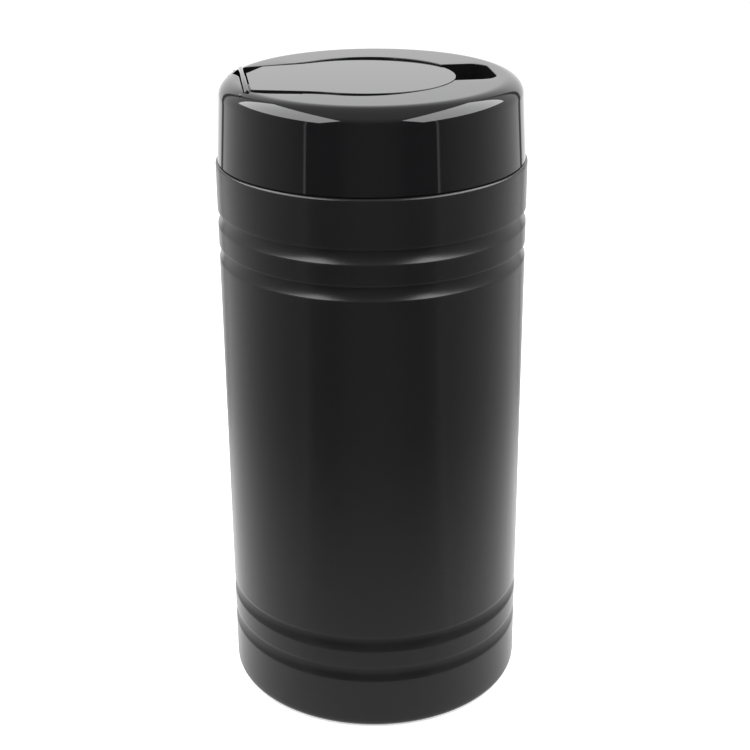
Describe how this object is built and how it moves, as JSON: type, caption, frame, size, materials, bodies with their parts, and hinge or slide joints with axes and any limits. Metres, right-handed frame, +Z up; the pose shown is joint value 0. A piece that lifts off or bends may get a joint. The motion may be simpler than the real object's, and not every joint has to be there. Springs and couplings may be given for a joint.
{
  "type": "wipes canister",
  "caption": "Tall round black plastic canister with grooved wall, gloss press-on cap, flush flip lid with finger notch, and a centre-pull roll of wipes inside.",
  "frame": {"origin": "centre of the foot, on the surface that the canister stands on", "axes": "+Z up along the canister's axis, +X from the lid's hinge strap towards the finger notch"},
  "size_m": [0.105, 0.105, 0.2221],
  "materials": {
    "bottle_plastic": "matt black blow-moulded polyethylene with a soft sheen",
    "cap_plastic": "high-gloss black injection-moulded polypropylene",
    "lid_plastic": "high-gloss black injection-moulded polypropylene",
    "wipe_cloth": "moist white nonwoven cloth"
  },
  "bodies": {
    "canister": {"canister_body": "bottle_plastic", "wipes_roll": "wipe_cloth"},
    "cap": {"cap": "cap_plastic"},
    "lid": {"flip_lid": "lid_plastic"}
  },
  "joints": [
    {"name": "cap_pull_off", "type": "slide", "parent": "canister", "child": "cap", "axis": [0, 0, 1], "range_m": [0, 0.03]},
    {"name": "lid_hinge", "type": "hinge", "parent": "cap", "child": "lid", "pos_m": [-0.042, 0, 0.2223], "axis": [0, -1, 0], "range_deg": [0, 180]}
  ]
}
